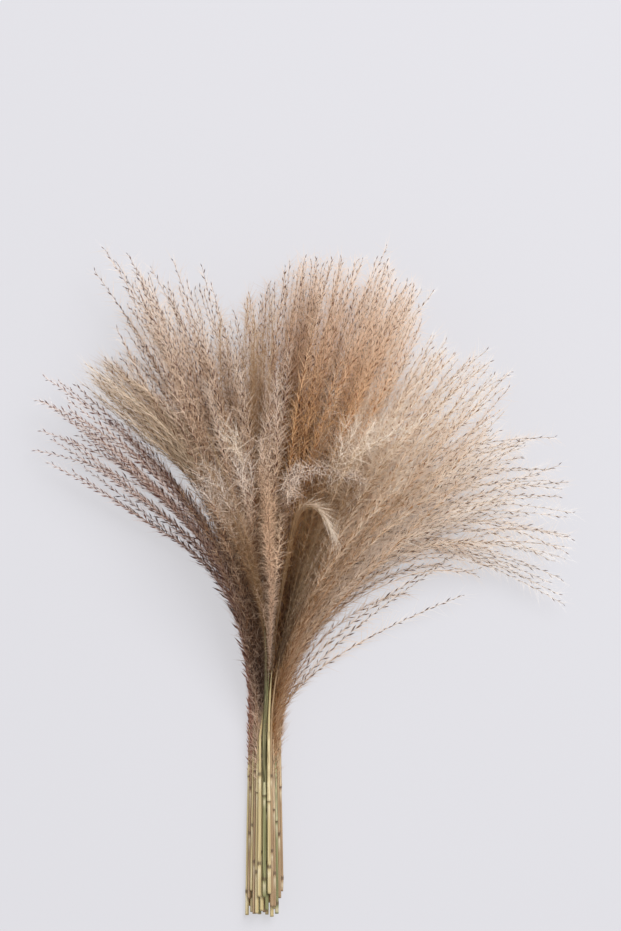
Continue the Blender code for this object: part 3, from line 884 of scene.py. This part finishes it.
# The stems below the plumes. Lengths are in millimetres. Pale is above zero where a stem is pale,
# at its cut end, and below zero where it is dark, at its knots.
stems = {
    "sides": 10,
    "ringEvery": 9.0,
    "firstRing": 1.2,
    "cutEnd": ((0.5, 0.5, 1.0), (0.0, 0.72, 0.7), (0.0, 0.98, -0.4)),  # deep, wide, pale
    "thins": (0.96, 0.66, 0.36, 0.2),  # the radius at the cut end, at the waist, past it, at last
    "pastWaist": 50.0,
    "lastInPlume": 0.12,  # how far the stem goes on into the plume
    "pointOver": 20.0,
    "pointTo": 0.35,
    "clearOfFloor": 0.02,
    "kinds": {"straw": 0.5, "green": 0.15, "brown": 0.35},
}
knot = {
    "places": ((6, 44), (58, 98)),  # from the cut end
    "proud": 0.22,
    "long": 1.6,
    "rings": (-4, -1.6, -0.6, 0.6, 1.6, 4),
    "darkOver": 1.2,
    "paleBelow": 4,
    "paleOver": 2.5,
    "pale": 0.5,
}
sheath = {
    "share": 0.55,  # of the stems
    "long": (30, 60),
    "thick": 0.2,
    "slant": 2.5,
    "rings": (0.0, 0.015, 0.05, 0.2, 0.4, 0.6, 0.8, 0.95, 1.0),
    "thins": ((0, 0.015, 0.9, 1), (0.1, 1, 0.7, 0.25)),
    "pale": (0.25, -0.15),  # at its foot, and how that changes up to its mouth
}
leaf = {
    "rings": 14,
    "thins": ((0, 0.15, 0.5, 1), (0.5, 1, 0.8, 0.08)),
    "above": 0.5,
    "keel": 0.22,
    "pale": -0.4,
}
leaves = {  # start and length past the waist, how wide, and how far off to the side the tip goes
    "reed_top_2": (-30, 112, 2.4, -4.0),
    "reed_upper_3": (-36, 56, 1.8, 2.0),
}
# The room of each in the map: left, right, low and high. Its caps are right of it.
mapRooms = {
    "stem": (0.0, 0.5, 0.03, 0.97),
    "sheath": (0.56, 0.72, 0.03, 0.97),
    "leaf": (0.78, 0.9, 0.03, 0.97),
}
capPast, capRadius = 0.02, 0.01


def addRings(shape, layers, rings, room):
    # closes the rings into one body, with its own part of the map and a cap at each end
    uv, shade = layers
    left, right, low, high = mapRooms[room]
    sides = len(rings[0][0])
    made = [([shape.verts.new(spot) for spot in spots], pale) for spots, pale in rings]
    for corners, pale in made:
        for corner in corners:
            corner[shade] = pale
    for i, ((ring, _), (after, _)) in enumerate(zip(made, made[1:])):
        for j in range(sides):
            k = (j + 1) % sides
            face = shape.faces.new((ring[j], ring[k], after[k], after[j]))
            face.smooth = True
            for loop, (a, b) in zip(face.loops, ((j, i), (j + 1, i), (j + 1, i + 1), (j, i + 1))):
                height = low + (high - low) * b / (len(made) - 1)
                loop[uv].uv = (left + (right - left) * a / sides, height)
    for ring, row in ((made[0][0], low), (made[-1][0], high)):
        cap = shape.faces.new(ring)
        for j, loop in enumerate(cap.loops):
            turn = j / sides * math.tau
            across = right + capPast + capRadius * math.cos(turn)
            loop[uv].uv = (across, row + capRadius * math.sin(turn))


def roundRing(reed, along, radius, slant=0.0):
    turns = np.arange(stems["sides"]) / stems["sides"] * math.tau
    centre, ahead, side, above = reed.at(along)
    outwards = side * np.cos(turns)[:, None] + above * np.sin(turns)[:, None]
    spots = centre + outwards * radius
    spots += ahead * (np.sin(turns)[:, None] * slant)
    spots[:, 2] = np.maximum(spots[:, 2], stems["clearOfFloor"] * mm)
    return spots


def buildStem(reed, finishes, draw):
    last = reed.plumeStart + (reed.length - reed.plumeStart) * stems["lastInPlume"]
    knots = [draw.uniform(*span) * mm for span in knot["places"]]
    pastWaist = stems["pastWaist"] * mm
    places = (0, reed.waist, reed.waist + pastWaist, max(last, reed.waist + 2 * pastWaist))
    shape = bmesh.new()
    layers = shape.loops.layers.uv.new("OFBake"), shape.verts.layers.float.new("shade")

    def nearKnots(along, over):
        return sum(math.exp(-((along - spot) / (over * mm)) ** 2) for spot in knots)

    def radiusAt(along):
        radius = reading["stemRadius"] * np.interp(along, places, stems["thins"])
        point = smooth((last - along) / (stems["pointOver"] * mm))
        radius *= stems["pointTo"] + (1 - stems["pointTo"]) * point
        return radius + knot["proud"] * mm * nearKnots(along, knot["long"])

    rings = [(roundRing(reed, deep * mm, wide * radiusAt(0)), pale)
             for deep, wide, pale in stems["cutEnd"]]
    near = [spot + step * mm for spot in knots for step in knot["rings"]]
    even = np.arange(stems["firstRing"] * mm, last, stems["ringEvery"] * mm)
    for along in sorted([*even, *near, last]):
        pale = knot["pale"] * nearKnots(along + knot["paleBelow"] * mm, knot["paleOver"])
        pale -= nearKnots(along, knot["darkOver"])
        rings.append((roundRing(reed, along, radiusAt(along)), pale))
    addRings(shape, layers, rings, "stem")

    if draw.random() < sheath["share"]:
        # a leaf sheath clasps the stem from its upper knot, and its mouth is slanted
        foot = knots[1]
        top = foot + draw.uniform(*sheath["long"]) * mm
        pale, paler = sheath["pale"]
        rings = []
        for share in sheath["rings"]:
            along = foot + (top - foot) * share
            thick = sheath["thick"] * mm * np.interp(share, *sheath["thins"])
            slant = sheath["slant"] * mm * smooth(share / 0.9 - 0.1)
            ring = roundRing(reed, along, radiusAt(along) + thick, slant)
            rings.append((ring, pale + paler * share))
        addRings(shape, layers, rings, "sheath")

    if reed.name in leaves:
        start, length, wide, off = leaves[reed.name]
        rings = []
        for share in np.linspace(0, 1, leaf["rings"]):
            along = reed.waist + (start + length * share) * mm
            centre, _, side, above = reed.at(along)
            half = wide / 2 * mm * np.interp(share, *leaf["thins"])
            middle = centre + above * (radiusAt(along) + leaf["above"] * mm)
            middle = middle + side * (off * mm * share ** 2)
            keel = above * leaf["keel"] * mm
            ring = (middle - side * half, middle - keel, middle + side * half, middle + keel)
            rings.append((np.array(ring), leaf["pale"]))
        addRings(shape, layers, rings, "leaf")

    bmesh.ops.recalc_face_normals(shape, faces=shape.faces)
    mesh = bpy.data.meshes.new(reed.name + "_stem")
    shape.to_mesh(mesh)
    shape.free()
    kinds = stems["kinds"]
    kind = "green" if reed.name in leaves else draw.choice(list(kinds), p=list(kinds.values()))
    mesh.materials.append(finishes[kind])
    return addPiece(reed, "stem", mesh)


# The dark, middle and light colour of each kind of stem, and those of all knots and cut ends.
stemTones = {
    "straw": ("#8f7a4c", "#c3af7c", "#e2d4a8"),
    "green": ("#454a2c", "#7c7c4e", "#b4b082"),
    "brown": ("#6a5238", "#a08260", "#cbb08a"),
}
knotColour = "#4f3823"
pithColour = "#e2d5b4"
wax = {"Roughness": 0.45}
fibre = {  # in millimetres, and what one unit of the map takes in round the stem and along it
    "wide": 0.25,
    "long": 13.0,
    "mapRound": 15.0,
    "mapAlong": 117.0,
    "detail": 3.0,
    "tones": (0.32, 0.5, 0.68),
}


def stemMaterial(kind):
    # dry stem: fibres run along it, and its waxy skin has a low gloss
    material, tree, surface = newMaterial(kind + "ReedStem", wax)
    place = addNode(tree, "ShaderNodeUVMap", uv_map="OFBake").outputs[0]
    inMap = (fibre["mapRound"] / fibre["wide"], fibre["mapAlong"] / fibre["long"], 1.0)
    stretched = addNode(
        tree, "ShaderNodeVectorMath", {0: place, 1: inMap}, operation="MULTIPLY").outputs[0]
    fibres = addNode(
        tree, "ShaderNodeTexNoise",
        {"Vector": stretched, "Scale": 1.0, "Detail": fibre["detail"]}).outputs["Fac"]
    ramp = addNode(tree, "ShaderNodeValToRGB", {"Fac": fibres})
    ramp.color_ramp.elements.new(0.5)
    for stop, spot, colour in zip(ramp.color_ramp.elements, fibre["tones"], stemTones[kind]):
        stop.position = spot
        stop.color = linear(colour)
    colour = ramp.outputs["Color"]
    shade = addNode(tree, "ShaderNodeAttribute", attribute_name="shade").outputs["Fac"]
    dark, pale = [
        addNode(
            tree, "ShaderNodeMath", {0: shade, 1: sign},
            operation="MULTIPLY", use_clamp=True).outputs[0]
        for sign in (-1.0, 1.0)]
    for amount, other in ((dark, knotColour), (pale, pithColour)):
        colour = addNode(
            tree, "ShaderNodeMix", {0: amount, 6: colour, 7: linear(other)},
            data_type="RGBA").outputs[2]
    tree.links.new(colour, surface.inputs["Base Color"])
    return material


buildStudio()
plumeTree = buildPlumeTree()
plumeFinishes = {slot: plumeMaterial(slot) for slot in tones}
stemFinishes = {kind: stemMaterial(kind) for kind in stemTones}
print("finishes made:", len(plumeFinishes), "for plumes and", len(stemFinishes), "for stems")
triangles = 0
for number, name in enumerate(sorted(frame["nodes"])):
    draw = np.random.default_rng(100 + number)
    reed = Reed(frame["nodes"][name])
    plume = buildPlume(reed, plumeTree, plumeFinishes[reed.slot], draw)
    stem = buildStem(reed, stemFinishes, draw)
    for piece in (plume, stem):
        triangles += sum(len(face.vertices) - 2 for face in piece.data.polygons)
print("reeds grown:", len(frame["nodes"]), "with", triangles, "triangles")
